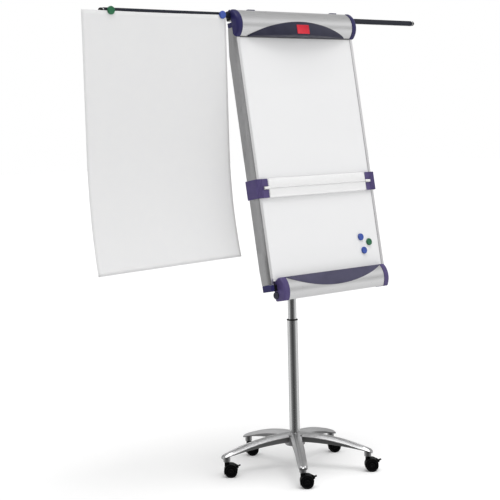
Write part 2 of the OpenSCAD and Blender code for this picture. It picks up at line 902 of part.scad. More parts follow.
module page_strip() {
    half = slider_in_x - 3;
    color([0.9, 0.95, 1, 0.4]) on_board() difference() {
        union() {
            translate([-half, -page_axis - strip_t / 2, slider_low]) cube([2 * half, strip_t, slider_h]);
            translate([-half, -page_axis, page_z]) rotate([0, 90, 0]) cylinder(r = 3.4, h = 2 * half);
        }
        translate([-half - 1, -page_axis, page_z]) rotate([0, 90, 0])
            cylinder(r = page_rod_r + seat, h = 2 * half + 2);
    }
}

// ---- Display arms, sheet and magnets ----

// Flat tube with a ball knob, drawn with its tip towards +X
module display_arm(y, tip_x) {
    color("black") on_board() translate([0, y, arm_z]) {
        difference() {
            translate([tip_x - arm_len, -arm_t / 2, -arm_h / 2]) cube([arm_len, arm_t, arm_h]);
            translate([tip_x - arm_len - 1, -arm_t / 2 + arm_wall, -arm_h / 2 + arm_wall])
                cube([arm_len - 4, arm_t - 2 * arm_wall, arm_h - 2 * arm_wall]);
        }
        translate([tip_x + seat, 0, 0]) rotate([0, 90, 0]) cylinder(r = knob_r - 1, h = 5);
        translate([tip_x + 9, 0, 0]) sphere(r = knob_r - 2);
    }
}

module arm_left() {
    mirror([1, 0, 0]) display_arm(arm_left_y, arm_left_tip);
}

module arm_right() {
    display_arm(arm_right_y, arm_right_tip);
}

// One hanging page: flat above, curling forward towards its lower edge
module hanging_sheet() {
    bend_z = sheet_top - sheet_len + curl_len;
    curl_angle = curl_len / curl_r * 180 / PI;
    color("white") along_x(sheet_left, sheet_left + sheet_w) {
        translate([sheet_y, bend_z]) square([sheet_t, sheet_len - curl_len]);
        translate([sheet_y + sheet_t - curl_r, bend_z]) intersection() {
            difference() {
                circle(r = curl_r, $fn = 200);
                circle(r = curl_r - sheet_t, $fn = 200);
            }
            sector(curl_r, -curl_angle, 0);
        }
    }
}

module magnet(r) {
    rotate([90, 0, 0]) {
        cylinder(r = r, h = magnet_t - 2);
        translate([0, 0, magnet_t - 2.5]) cylinder(r = r - 1.5, h = 2.5);
    }
}

module board_magnets() {
    color("royalblue") on_board() for (at = board_magnet_at)
        translate([at[0], -seat, at[1]]) magnet(board_magnet_r);
}

module arm_magnet(i) {
    color(i == 0 ? "seagreen" : "royalblue")
        translate([arm_magnet_x[i], sheet_y - fit, arm_level]) magnet(arm_magnet_r);
}

star_base();
castor_stems();
column_tube();
column_collar();
gas_spring_rod();
castor_hood(0);  // castor_hood_1
castor_hood(1);  // castor_hood_2
castor_hood(2);  // castor_hood_3
castor_hood(3);  // castor_hood_4
castor_hood(4);  // castor_hood_5
wheel_set(0);  // wheel_set_1
wheel_set(1);  // wheel_set_2
wheel_set(2);  // wheel_set_3
wheel_set(3);  // wheel_set_4
wheel_set(4);  // wheel_set_5
castor_brake(0);  // castor_brake_1
castor_brake(1);  // castor_brake_2
castor_brake(2);  // castor_brake_3
castor_brake(3);  // castor_brake_4
castor_brake(4);  // castor_brake_5
gas_spring_cylinder();
gas_valve_pin();
mast_tube();
mast_glide();
head_bracket();
lift_lever();
lever_pin();
writing_sheet();
panel_core();
side_rails();
rear_beams();
frame_screws();
mount_plate();
pivot_bolt();
tilt_knob();
rail_end_blocks();
top_rail();
arm_sleeves();
hinge_pins();
tray_rail();
tray_insert();
tray_caps();
tray_tube();
clamp_bar();
clamp_handle();
clamp_badge();
clamp_caps();
grip_strip();
pad_hook(hook_x[0]);  // pad_hook_left
pad_hook(hook_x[1]);  // pad_hook_right
page_sliders();
page_bushes();
page_rod();
page_strip();
arm_left();
arm_right();
hanging_sheet();
board_magnets();
arm_magnet(0);  // arm_magnet_outer
arm_magnet(1);  // arm_magnet_inner
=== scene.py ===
"""Looks of the mobile flipchart easel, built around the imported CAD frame. Metres, +Z up."""
import json
import math

import bmesh
import bpy
from mathutils import Matrix, Vector

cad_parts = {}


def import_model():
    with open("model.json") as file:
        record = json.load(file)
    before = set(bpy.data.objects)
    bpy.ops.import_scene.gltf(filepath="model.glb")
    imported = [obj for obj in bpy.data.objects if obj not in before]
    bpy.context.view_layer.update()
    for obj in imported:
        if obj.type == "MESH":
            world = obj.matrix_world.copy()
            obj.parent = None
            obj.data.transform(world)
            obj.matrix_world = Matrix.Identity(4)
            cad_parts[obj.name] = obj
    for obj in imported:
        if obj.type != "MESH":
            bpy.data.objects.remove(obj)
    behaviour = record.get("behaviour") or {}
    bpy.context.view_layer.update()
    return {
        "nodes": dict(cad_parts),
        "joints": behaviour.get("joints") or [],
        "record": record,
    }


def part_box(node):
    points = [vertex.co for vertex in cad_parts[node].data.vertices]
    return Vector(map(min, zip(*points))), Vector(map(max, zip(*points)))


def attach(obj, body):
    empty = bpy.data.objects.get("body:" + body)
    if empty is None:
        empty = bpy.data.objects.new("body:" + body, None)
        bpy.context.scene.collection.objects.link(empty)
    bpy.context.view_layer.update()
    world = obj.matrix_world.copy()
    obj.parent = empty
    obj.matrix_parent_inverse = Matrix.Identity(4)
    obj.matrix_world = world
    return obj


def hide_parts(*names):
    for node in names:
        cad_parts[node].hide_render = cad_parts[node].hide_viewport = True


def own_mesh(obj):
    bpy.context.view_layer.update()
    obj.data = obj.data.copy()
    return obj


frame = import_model()
NODES = frame["nodes"]
JOINTS = {j["name"]: j for j in frame["joints"]}
SLOT_OF = {part["node"]: part["material_slot"] for part in frame["record"]["subparts"]}
BODY_OF = {node: body for body, nodes in frame["record"]["behaviour"]["bodies"].items() for node in nodes}
TAU = 2 * math.pi

# ---------------------------------------------------------------- frame of the leaning board
TILT_AT = Vector(JOINTS["board_tilt"]["pos_m"])
UP = Vector(JOINTS["page_holder_slide"]["axis"])          # up the slope of the board
OUT = Vector(JOINTS["board_magnets_lift"]["axis"])        # out of the writing face
FACE_REACH = 0.085                                        # writing face in front of the tilt pivot
# frame of the pieces on the board: x right, y backwards from the writing face, z up the slope
BOARD = Matrix.Translation(TILT_AT + OUT * FACE_REACH) @ Matrix(
    ((1, -OUT.x, UP.x), (0, -OUT.y, UP.y), (0, -OUT.z, UP.z))).to_4x4()


# ---------------------------------------------------------------- materials
ALONG_X = (0.02, 1, 1)             # stretches of a noise: long features along one axis
ALONG_Z = (1, 1, 0.02)
EVEN = (1, 1, 1)
FLAT, ROUNDED = 0.985, 0.90        # cosine between true and rounded normal: off an edge, and on it


class Shader:
    """A node material under construction."""

    def __init__(self, name):
        self.material = bpy.data.materials.new(name)
        self.material.use_nodes = True
        self.tree = self.material.node_tree
        self.bsdf = self.tree.nodes["Principled BSDF"]
        self.place = self.node("ShaderNodeTexCoord").outputs["Object"]

    def node(self, kind, **values):
        """New node; a value goes to the input of that name, or else to the node's own setting."""
        made = self.tree.nodes.new(kind)
        for key, value in values.items():
            if key in made.inputs.keys():
                made.inputs[key].default_value = value
            else:
                setattr(made, key, value)
        return made

    def link(self, source, target):
        self.tree.links.new(source, target)

    def set(self, **values):
        """Fixed inputs of the surface; an underscore stands for a space in an input's name."""
        for key, value in values.items():
            self.bsdf.inputs[key.replace("_", " ")].default_value = value

    def noise(self, scale, stretch=EVEN, detail=3.0):
        """Noise in metres: scale is features per metre, stretch slows it along an axis."""
        mapping = self.node("ShaderNodeMapping")
        mapping.inputs["Scale"].default_value = stretch
        self.link(self.place, mapping.inputs["Vector"])
        made = self.node("ShaderNodeTexNoise", Scale=scale, Detail=detail)
        self.link(mapping.outputs["Vector"], made.inputs["Vector"])
        return made.outputs["Fac"]

    def ranged(self, source, low, high, start=0.3, end=0.7):
        """low to high while the source goes from start to end."""
        made = self.node("ShaderNodeMapRange")
        for key, value in zip(("From Min", "From Max", "To Min", "To Max"), (start, end, low, high)):
            made.inputs[key].default_value = value
        self.link(source, made.inputs["Value"])
        return made.outputs["Result"]

    def mixed(self, factor, first, second):
        """Mix of two colours; either may be a tuple or a socket."""
        made = self.node("ShaderNodeMix", data_type="RGBA")
        self.link(factor, made.inputs["Factor"])
        for key, value in (("A", first), ("B", second)):
            socket = [s for s in made.inputs if s.name == key and s.type == "RGBA"][0]
            if isinstance(value, tuple):
                socket.default_value = (*value, 1)
            else:
                self.link(value, socket)
        return [s for s in made.outputs if s.type == "RGBA"][0]

    def edge(self, radius):
        """1 along convex edges narrower than a radius, 0 on flat faces; also rounds the shading."""
        bevel = self.node("ShaderNodeBevel", samples=4, Radius=radius)
        geometry = self.node("ShaderNodeNewGeometry")
        dot = self.node("ShaderNodeVectorMath", operation="DOT_PRODUCT")
        self.link(bevel.outputs["Normal"], dot.inputs[0])
        self.link(geometry.outputs["Normal"], dot.inputs[1])
        return bevel.outputs["Normal"], self.ranged(dot.outputs["Value"], 0.0, 1.0, FLAT, ROUNDED)

    def bump(self, source, distance, normal=None):
        """Bump from a height, in metres, over an optional base normal."""
        made = self.node("ShaderNodeBump", Strength=1.0, Distance=distance)
        self.link(source, made.inputs["Height"])
        if normal is not None:
            self.link(normal, made.inputs["Normal"])
        self.link(made.outputs["Normal"], self.bsdf.inputs["Normal"])


def lighter(colour, amount):
    """Colour moved towards white."""
    return tuple(c + (1 - c) * amount for c in colour)


def scaled(colour, factor):
    """Colour made darker or brighter by a factor."""
    return tuple(c * factor for c in colour)


def brushed_metal(name, colour, rough, stretch, grain, depth=0.00002, wear=0.35, radius=0.0012,
                  lip=None):
    """Drawn or brushed metal: fine lines along the slowed axis, cloudy tone, bright worn edges.

    lip is a brighter tone painted on the faces that look the way the board does: a painted highlight, the
    same metal shown as if better lit.
    """
    s = Shader(name)
    s.set(Base_Color=(*colour, 1), Roughness=rough, Metallic=1.0)
    lines = s.noise(grain, stretch)
    clouds = s.noise(9, EVEN, 2.0)
    tone = s.mixed(s.ranged(lines, 0, 1), scaled(colour, 0.88), lighter(colour, 0.10))
    tone = s.mixed(s.ranged(clouds, 0, 0.5), tone, scaled(colour, 0.90))
    # painted highlight: faces that look out of the board take the brighter lip tone
    if lip:
        ahead = s.node("ShaderNodeVectorMath", operation="DOT_PRODUCT")
        s.link(s.node("ShaderNodeNewGeometry").outputs["Normal"], ahead.inputs[0])
        ahead.inputs[1].default_value = OUT
        tone = s.mixed(s.ranged(ahead.outputs["Value"], 0, 1, 0.80, 0.95), tone, lip)
    normal, edge = s.edge(radius)
    tone = s.mixed(s.ranged(edge, 0, wear, 0, 1), tone, lighter(colour, 0.5))
    s.link(tone, s.bsdf.inputs["Base Color"])
    s.link(s.ranged(lines, rough - 0.06, rough + 0.08), s.bsdf.inputs["Roughness"])
    s.bump(lines, depth, normal)
    return s.material


def polished_casting(name, colour, rough):
    """Polished die casting: faint linishing lines on top; walls that face sideways and down are rougher as
    cast, and painted darker as shade for the dark ground they reflect.
    """
    s = Shader(name)
    s.set(Base_Color=(*colour, 1), Roughness=rough, Metallic=1.0)
    lines = s.noise(260, (0.15, 0.15, 1), 2.0)
    clouds = s.noise(14, EVEN, 3.0)
    facing = s.node("ShaderNodeSeparateXYZ")
    s.link(s.node("ShaderNodeNewGeometry").outputs["Normal"], facing.inputs[0])
    # walls facing sideways and down: rougher as cast, and painted darker as shade
    as_cast_and_shade = s.ranged(facing.outputs["Z"], 1, 0, -0.12, 0.22)
    tone = s.mixed(s.ranged(lines, 0, 1), scaled(colour, 0.95), lighter(colour, 0.06))
    tone = s.mixed(s.ranged(clouds, 0, 0.4), tone, scaled(colour, 0.93))
    # painted shade: those walls take a much darker colour, standing in for the dark ground they reflect
    s.link(s.mixed(as_cast_and_shade, tone, scaled(colour, 0.42)), s.bsdf.inputs["Base Color"])
    s.link(s.ranged(as_cast_and_shade, rough, rough + 0.24, 0, 1), s.bsdf.inputs["Roughness"])
    s.bump(lines, 0.000002)
    return s.material


def moulded_plastic(name, colour, rough, wear=0.25, radius=0.0012, shine=0.3):
    """Satin moulded plastic: fine spark-eroded grain, faint mottling, paler rubbed edges."""
    s = Shader(name)
    s.set(Base_Color=(*colour, 1), Roughness=rough, Specular_IOR_Level=shine)
    texture = s.noise(1400)
    mottle = s.noise(22, EVEN, 4.0)
    tone = s.mixed(s.ranged(mottle, 0, 1), scaled(colour, 0.88), scaled(colour, 1.12))
    normal, edge = s.edge(radius)
    tone = s.mixed(s.ranged(edge, 0, wear, 0, 1), tone, lighter(colour, 0.12))
    s.link(tone, s.bsdf.inputs["Base Color"])
    s.link(s.ranged(mottle, rough - 0.05, rough + 0.07), s.bsdf.inputs["Roughness"])
    s.bump(texture, 0.00002, normal)
    return s.material


def painted_metal(name, colour, rough, wear):
    """Powder coat: orange peel, a few rubbed edges where metal shows."""
    s = Shader(name)
    s.set(Base_Color=(*colour, 1), Roughness=rough, Specular_IOR_Level=0.3)
    peel = s.noise(420, EVEN, 2.0)
    clouds = s.noise(14, EVEN, 3.0)
    tone = s.mixed(s.ranged(clouds, 0, 1), scaled(colour, 0.85), scaled(colour, 1.2))
    normal, edge = s.edge(0.0009)
    rubbed = s.node("ShaderNodeMath", operation="MULTIPLY")
    s.link(edge, rubbed.inputs[0])
    s.link(s.ranged(s.noise(180), 0, wear, 0.45, 0.65), rubbed.inputs[1])
    s.link(s.mixed(rubbed.outputs[0], tone, (0.45, 0.45, 0.46)), s.bsdf.inputs["Base Color"])
    s.link(s.ranged(clouds, rough - 0.05, rough + 0.1), s.bsdf.inputs["Roughness"])
    s.bump(peel, 0.00006, normal)
    return s.material


def enamel(name):
    """Dry-wipe steel sheet: glossy white enamel with faint wiped smears."""
    s = Shader(name)
    white = (0.80, 0.80, 0.805)
    s.set(Base_Color=(*white, 1), Roughness=0.28, Specular_IOR_Level=0.4)
    smears = s.noise(5, (0.35, 1, 1.6), 1.0)
    specks = s.noise(260, EVEN, 2.0)
    tone = s.mixed(s.ranged(smears, 0, 0.5, 0.1, 0.9), white, (0.765, 0.768, 0.775))
    tone = s.mixed(s.ranged(specks, 0, 0.12, 0.62, 0.8), tone, (0.70, 0.70, 0.71))
    s.link(tone, s.bsdf.inputs["Base Color"])
    s.link(s.ranged(smears, 0.27, 0.31, 0.1, 0.9), s.bsdf.inputs["Roughness"])
    s.bump(s.noise(60, EVEN, 2.0), 0.00004)
    return s.material


def paper(name):
    """Uncoated flipchart paper: fibres, faint clouding, and light that passes through."""
    s = Shader(name)
    white = (0.87, 0.87, 0.87)
    s.set(Base_Color=(*white, 1), Roughness=0.9, Specular_IOR_Level=0.15)
    fibres = s.noise(700, (1, 1, 0.45), 6.0)
    clouds = s.noise(30, EVEN, 5.0)
    tone = s.mixed(s.ranged(clouds, 0, 1), white, (0.86, 0.86, 0.865))
    tone = s.mixed(s.ranged(fibres, 0, 0.35), tone, (0.83, 0.83, 0.83))
    s.link(tone, s.bsdf.inputs["Base Color"])
    s.bump(fibres, 0.00006)
    through = s.node("ShaderNodeBsdfTranslucent")
    s.link(tone, through.inputs["Color"])
    blend = s.node("ShaderNodeMixShader", Fac=0.22)
    output = s.tree.nodes["Material Output"]
    s.link(s.bsdf.outputs["BSDF"], blend.inputs[1])
    s.link(through.outputs["BSDF"], blend.inputs[2])
    s.link(blend.outputs["Shader"], output.inputs["Surface"])
    return s.material


def clear_acrylic(name):
    """Thin clear strip with a whitish cast, brighter on its cut edges, and hairline scratches."""
    s = Shader(name)
    tint = (0.97, 0.97, 0.97)
    s.set(Base_Color=(*tint, 1), Roughness=0.12, Alpha=0.62)
    scratches = s.noise(500, (0.03, 1, 1), 2.0)
    normal, edge = s.edge(0.0006)
    scratched = s.mixed(s.ranged(scratches, 0, 0.4, 0.6, 0.8), tint, (0.8, 0.8, 0.8))
    s.link(scratched, s.bsdf.inputs["Base Color"])
    s.link(s.ranged(edge, 0.62, 0.9, 0, 1), s.bsdf.inputs["Alpha"])
    s.link(s.ranged(scratches, 0.10, 0.3), s.bsdf.inputs["Roughness"])
    s.bump(scratches, 0.00001, normal)
    return s.material


def rubbery(name, colour, rough, grain):
    """Matt rubber or pressed board: even fine grain under patches of dust."""
    s = Shader(name)
    s.set(Base_Color=(*colour, 1), Roughness=rough, Specular_IOR_Level=0.3)
    dust = s.noise(40, EVEN, 5.0)
    s.link(s.mixed(s.ranged(dust, 0, 0.6), colour, lighter(colour, 0.06)), s.bsdf.inputs["Base Color"])
    s.link(s.ranged(dust, rough - 0.1, rough + 0.1), s.bsdf.inputs["Roughness"])
    s.bump(s.noise(grain), 0.00008)
    return s.material


# slot, kind of finish, colour, roughness, and what differs from that kind's usual values
FINISHES = (
    ("polished_aluminium", polished_casting, (0.60, 0.60, 0.605), 0.30, {}),
    ("steel", brushed_metal, (0.60, 0.61, 0.63), 0.28, dict(stretch=EVEN, grain=500)),
    ("chrome", brushed_metal, (0.70, 0.705, 0.71), 0.20,
     dict(stretch=ALONG_Z, grain=500, depth=0.000006, wear=0.3, radius=0.0006)),
    # the rail's lip tone is a painted highlight on its front faces, not a second finish
    ("rail_aluminium", brushed_metal, (0.41, 0.41, 0.415), 0.32,
     dict(stretch=ALONG_Z, grain=800, depth=0.00003, wear=0.3, lip=(0.86, 0.86, 0.865))),
    ("bright_aluminium", brushed_metal, (0.84, 0.84, 0.845), 0.33,
     dict(stretch=ALONG_X, grain=800, depth=0.00003, wear=0.4)),
    ("dark_steel", painted_metal, (0.045, 0.045, 0.05), 0.35, dict(wear=0.4)),
    ("arm_metal", painted_metal, (0.010, 0.012, 0.022), 0.36, dict(wear=0.05)),
    ("castor_plastic", moulded_plastic, (0.003, 0.003, 0.0034), 0.5, dict(shine=0.08)),
    ("wheel_plastic", moulded_plastic, (0.002, 0.002, 0.0024), 0.55, dict(shine=0.07)),
    ("black_plastic", moulded_plastic, (0.006, 0.006, 0.007), 0.45, dict(shine=0.2)),
    ("glide_plastic", moulded_plastic, (0.75, 0.75, 0.72), 0.5, {}),
    ("white_plastic", moulded_plastic, (0.82, 0.82, 0.80), 0.35, {}),
    ("indigo_plastic", moulded_plastic, (0.021, 0.018, 0.094), 0.36, {}),
    ("violet_plastic", moulded_plastic, (0.078, 0.058, 0.168), 0.38, {}),
    ("navy_plastic", moulded_plastic, (0.026, 0.026, 0.050), 0.36, {}),
    ("red_plastic", moulded_plastic, (0.62, 0.015, 0.035), 0.3, dict(wear=0.2, radius=0.0008)),
    ("blue_plastic", moulded_plastic, (0.046, 0.088, 0.36), 0.3, dict(wear=0.2)),
    ("green_plastic", moulded_plastic, (0.022, 0.135, 0.06), 0.3, dict(wear=0.2)),
    ("rubber", rubbery, (0.02, 0.02, 0.02), 0.75, dict(grain=600)),
    ("core_board", rubbery, (0.45, 0.42, 0.37), 0.85, dict(grain=300)),
)
MATERIALS = {slot: kind(slot, colour, rough, **options) for slot, kind, colour, rough, options in FINISHES}
MATERIALS["white_steel"] = enamel("white_steel")
MATERIALS["paper"] = paper("paper")
MATERIALS["clear_plastic"] = clear_acrylic("clear_plastic")
for node, slot in SLOT_OF.items():
    NODES[node].data.materials.clear()
    NODES[node].data.materials.append(MATERIALS[slot])
# the tray's insert is the paler of the two navy mouldings, and the clamp's grip strip is grey
NODES["tray_insert"].data.materials[0] = moulded_plastic("slate_plastic", (0.064, 0.060, 0.108), 0.40)
NODES["grip_strip"].data.materials[0] = rubbery("grey_rubber", (0.13, 0.13, 0.135), 0.75, 600)


# ---------------------------------------------------------------- mesh tools
MERGE_WITHIN = 0.00001             # points of one mesh closer than this become one


def piece(name, verts, faces, nodes, slot=None, place=None, smooth=35.0):
    """A mesh that stands for CAD nodes: rides on their body and takes their finish.

    Edges that turn by more than smooth degrees stay sharp.
    """
    mesh = bpy.data.meshes.new(name)
    mesh.from_pydata([tuple(v) for v in verts], [], faces)
    work = bmesh.new()
    work.from_mesh(mesh)
    bmesh.ops.remove_doubles(work, verts=work.verts, dist=MERGE_WITHIN)
    bmesh.ops.recalc_face_normals(work, faces=work.faces)
    work.to_mesh(mesh)
    work.free()
    if place is not None:
        mesh.transform(place)
    mesh.polygons.foreach_set("use_smooth", [True] * len(mesh.polygons))
    mesh.set_sharp_from_angle(angle=math.radians(smooth))
    obj = bpy.data.objects.new(name, mesh)
    bpy.context.scene.collection.objects.link(obj)
    owner = nodes[0]
    slot = slot or SLOT_OF[owner]
    mesh.materials.append(MATERIALS[slot])
    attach(obj, BODY_OF[owner])
    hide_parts(*nodes)
    return obj


def loft(rings, ends=True):
    """Vertices and faces of a skin over closed rings with equal point counts."""
    count = len(rings[0])
    verts = [Vector(p) for ring in rings for p in ring]
    faces = []
    for i in range(len(rings) - 1):
        for j in range(count):
            k = (j + 1) % count
            faces.append((i * count + j, i * count + k, (i + 1) * count + k, (i + 1) * count + j))
    if ends:
        faces.append(tuple(range(count)))
        faces.append(tuple(range((len(rings) - 1) * count, len(rings) * count)))
    return verts, faces


def turned(r, z, part_of_turn):
    """A point at a radius and height, turned about Z by a part of a full turn."""
    return Vector((r * math.cos(TAU * part_of_turn), r * math.sin(TAU * part_of_turn), z))


def lathe(profile, steps=40):
    """Solid of revolution about Z from [radius, z] points that start and end on the axis."""
    return loft([[turned(r, z, i / steps) for i in range(steps)] for r, z in profile])


def ring_solid(profile, steps=40):
    """Revolved closed section about Z that stays clear of the axis, such as a tube."""
    rings = [[turned(r, z, i / steps) for r, z in profile] for i in range(steps)]
    return loft(rings + [rings[0]], ends=False)


def merged(*parts):
    """One vertex and face list out of several."""
    verts, faces = [], []
    for part_verts, part_faces in parts:
        base = len(verts)
        verts += part_verts
        faces += [tuple(base + i for i in face) for face in part_faces]
    return verts, faces


def moved(part, matrix):
    """A part put through a matrix."""
    verts, faces = part
    return [matrix @ Vector(v) for v in verts], faces


def mirrored(part):
    """A part on the other side of the plane x = 0."""
    verts, faces = part
    return [Vector((-v[0], v[1], v[2])) for v in verts], [tuple(reversed(f)) for f in faces]


def both_sides(part):
    """A part and its mirror copy on the other side of the board."""
    return merged(part, mirrored(part))


def rounded_corners(half_w, half_h, corner, steps):
    """[x, y] points around a rectangle with round corners."""
    points = []
    for sign_x, sign_y, start in ((1, 1, 0), (-1, 1, 90), (-1, -1, 180), (1, -1, 270)):
        for step in range(steps + 1):
            a = math.radians(start + 90 * step / steps)
            points.append((sign_x * (half_w - corner) + corner * math.cos(a),
                           sign_y * (half_h - corner) + corner * math.sin(a)))
    return points


TURN_X = Matrix.Rotation(math.pi / 2, 4, "Y")              # local Z becomes X


# ---------------------------------------------------------------- star base
LEG_ANGLES = [math.atan2(JOINTS[f"castor_swivel_{i}"]["pos_m"][1], JOINTS[f"castor_swivel_{i}"]["pos_m"][0])
              for i in range(1, 6)]
STEM_R = Vector(JOINTS["castor_swivel_1"]["pos_m"][:2]).length
HUB_TOP = 0.163
LEG_END = STEM_R + 0.021
LEG_TIP_TOP = 0.095
LEG_TOP_RADIUS = (LEG_END ** 2 + (HUB_TOP - LEG_TIP_TOP) ** 2) / (2 * (HUB_TOP - LEG_TIP_TOP))
LEG_LOW_AT_HUB = 0.124
LEG_LOW_RADIUS = 1.5
HUB_R = 0.044
HUB_LOW = 0.1075
HUB_FLOOR = 0.0025
COLUMN_R = 0.0225


def leg_section(r, drop, half_w, hollow):
    """Cross-section of a leg: two ridges beside a groove, slanted shoulders, hollow underneath."""
    top = HUB_TOP - LEG_TOP_RADIUS + math.sqrt(LEG_TOP_RADIUS ** 2 - r * r) - drop
    low = LEG_LOW_AT_HUB - LEG_LOW_RADIUS + math.sqrt(LEG_LOW_RADIUS ** 2 - r * r)
    low = min(low + drop * 0.2, top - 0.006)
    ceiling = max(low + 0.0004, top - 0.013) if hollow else low + 0.0004
    shoulder = min(0.0150, 0.75 * (top - low))
    half = [(0, top - 0.0045), (0.0028, top - 0.0045), (0.0042, top - 0.0016), (0.0062, top - 0.0002),
            (half_w * 0.48, top), (half_w * 0.60, top - 0.0010), (half_w - 0.0020, top - shoulder + 0.0022),
            (half_w - 0.0004, top - shoulder + 0.0002), (half_w, top - shoulder - 0.0012),
            (half_w - 0.0012, top - shoulder - 0.0022), (half_w - 0.0030, low + 0.0010),
            (half_w - 0.0040, low), (half_w - 0.0065, low), (half_w - 0.0075, ceiling), (0, ceiling)]
    ring = [Vector((r, y, z)) for y, z in half]
    return ring + [Vector((r, -y, z)) for y, z in reversed(half[1:-1])]


def leg():
    """One leg along +X: a lofted arch with a rounded tip and the boss of its castor."""
    root, tip = 0.026, 0.021
    first, last, steps, hollow_from = 0.020, 0.300, 14, 0.04
    rings = []
    for i in range(steps + 1):
        r = first + (last - first) * i / steps
        rings.append(leg_section(r, 0, root + (tip - root) * r / LEG_END, r > hollow_from))
    for r, drop, narrow in ((0.306, 0, 0), (0.318, 0, 0), (0.330, 0.0003, 0.0002), (0.337, 0.0012, 0.0010),
                            (0.3408, 0.0030, 0.0026), (0.3430, 0.0060, 0.0055), (0.3436, 0.0085, 0.0080)):
        rings.append(leg_section(r, drop, tip - narrow, False))
    boss = lathe([(0, 0.0660), (0.0128, 0.0660), (0.0150, 0.0682), (0.0150, 0.0930), (0, 0.0930)])
    return merged(loft(rings), moved(boss, Matrix.Translation((STEM_R, 0, 0))))


def star_base():
    """Hub and five legs as one casting."""
    hub = ring_solid([(0.006, HUB_LOW), (HUB_R - 0.003, HUB_LOW), (HUB_R, HUB_LOW + 0.003),
                      (HUB_R, HUB_TOP - 0.0075), (HUB_R - 0.004, HUB_TOP - 0.0040),
                      (COLUMN_R + 0.004, HUB_TOP - 0.0030), (COLUMN_R + 0.0001, HUB_TOP - 0.0010),
                      (COLUMN_R + 0.0001, HUB_LOW + HUB_FLOOR), (0.006, HUB_LOW + HUB_FLOOR)], 60)
    legs = [moved(leg(), Matrix.Rotation(a, 4, "Z")) for a in LEG_ANGLES]
    piece("star_base_casting", *merged(hub, *legs), ["star_base"], smooth=28)


def column_collar():
    """Thin black flange on the column's mouth, with the sleeve that guides the mast."""
    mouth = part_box("column_tube")[1][2]
    sleeve_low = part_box("column_collar")[0][2]
    bore = 0.0187
    flange = [(bore, sleeve_low), (0.0204, sleeve_low), (0.0204, mouth + 0.0001), (0.0240, mouth + 0.0001),
              (0.0245, mouth + 0.0006), (0.0245, mouth + 0.0036), (0.0240, mouth + 0.0044),
              (0.0205, mouth + 0.0056), (bore, mouth + 0.0060)]
    piece("column_collar_ring", *ring_solid(flange, 60), ["column_collar"], smooth=30)


star_base()
column_collar()


# ---------------------------------------------------------------- castors
WHEEL_R = 0.028
AXLE_R = 0.004
WHEEL_INNER = 0.0045
WHEEL_OUTER = 0.024


def wheel():
    """One wheel about the X axis, from its inner to its outer face, with tread and a dished side."""
    profile = [(AXLE_R, WHEEL_INNER + 0.001), (0.022, WHEEL_INNER + 0.001), (0.0235, WHEEL_INNER),
               (WHEEL_R - 0.003, WHEEL_INNER), (WHEEL_R - 0.0006, WHEEL_INNER + 0.0022)]
    tread = 5
    for i in range(tread):
        start = WHEEL_INNER + 0.0030 + (WHEEL_OUTER - WHEEL_INNER - 0.0065) * i / (tread - 1)
        profile += [(WHEEL_R - 0.0007, start - 0.0006), (WHEEL_R, start), (WHEEL_R, start + 0.0012),
                    (WHEEL_R - 0.0007, start + 0.0018)]
    dished_side = ((WHEEL_R - 0.0026, 0.0006), (WHEEL_R - 0.0045, 0), (WHEEL_R - 0.0060, 0),
                   (WHEEL_R - 0.0070, 0.0022), (0.0105, 0.0026), (0.0095, 0.0012), (0.0060, 0.0004),
                   (AXLE_R, 0.0004))
    profile += [(r, WHEEL_OUTER - sunk) for r, sunk in dished_side]
    return moved(ring_solid(profile, 48), TURN_X)


def castor_wheels(i):
    """Two wheels on their axle, turned onto the axis of their joint."""
    roll = JOINTS[f"wheel_roll_{i}"]
    axis = Vector(roll["axis"])
    turn = Vector((1, 0, 0)).rotation_difference(axis).to_matrix().to_4x4()
    axle = moved(lathe([(0, -0.0230), (AXLE_R - 0.0006, -0.0230), (AXLE_R, -0.0224), (AXLE_R, 0.0224),
                        (AXLE_R - 0.0006, 0.0230), (0, 0.0230)], 24), TURN_X)
    both = merged(wheel(), mirrored(wheel()), axle)
    piece(f"castor_wheels_{i}", *both, [f"wheel_set_{i}"], smooth=30,
          place=Matrix.Translation(roll["pos_m"]) @ turn)


for number in range(1, 6):
    castor_wheels(number)


# ---------------------------------------------------------------- clamp
COVER_AT = (0.033, 0.807)          # centre of the clamp cover's arc, behind the face and up
COVER_R = 0.065
COVER_X = 0.318
CAP_X = 0.347
CAP_FLOOR_X = 0.3432               # inner side of the cap's end wall
CAP_R = 0.067
CAP_IN_R = 0.0626
HANDLE_TOP = 0.813
HANDLE_LOW = 0.752
HANDLE_TIP = 0.757
HANDLE_HALF = 0.278
HANDLE_BULGE = 0.050


def on_arc(centre, r, angle):
    """[y, z] of a point in front of a centre, at an angle from straight ahead."""
    return centre[0] - r * math.cos(angle), centre[1] + r * math.sin(angle)


def clamp_caps():
    """End caps of the clamp cover, each a thick arc with a pivot ear at the top rail."""
    rings = []
    first, last, steps = -56, 60, 32
    for i in range(steps + 1):
        a = math.radians(first + (last - first) * i / steps)
        inner = min(0.0282 / math.cos(a), 0.0570)
        section = [(COVER_X + 0.0003, CAP_IN_R), (COVER_X + 0.0003, CAP_R - 0.0006),
                   (COVER_X + 0.0010, CAP_R), (0.3355, CAP_R), (0.3400, CAP_R - 0.0008),
                   (0.3438, CAP_R - 0.0030), (0.3462, CAP_R - 0.0062), (CAP_X, CAP_R - 0.0100),
                   (CAP_X, inner + 0.0010), (CAP_X - 0.0006, inner), (CAP_FLOOR_X, inner),
                   (CAP_FLOOR_X, CAP_IN_R)]
        rings.append([(x, *on_arc(COVER_AT, r, a)) for x, r in section])
    ear = lathe([(0, CAP_FLOOR_X), (0.0058, CAP_FLOOR_X), (0.0062, 0.3436), (0.0062, 0.3464),
                 (0.0056, CAP_X), (0, CAP_X)], 28)
    ear = moved(ear, Matrix.Translation((0, 0.009, 0.8585)) @ TURN_X)
    cap = merged(loft(rings), ear)
    piece("clamp_cap_pair", *both_sides(cap), ["clamp_caps"], place=BOARD, smooth=32)


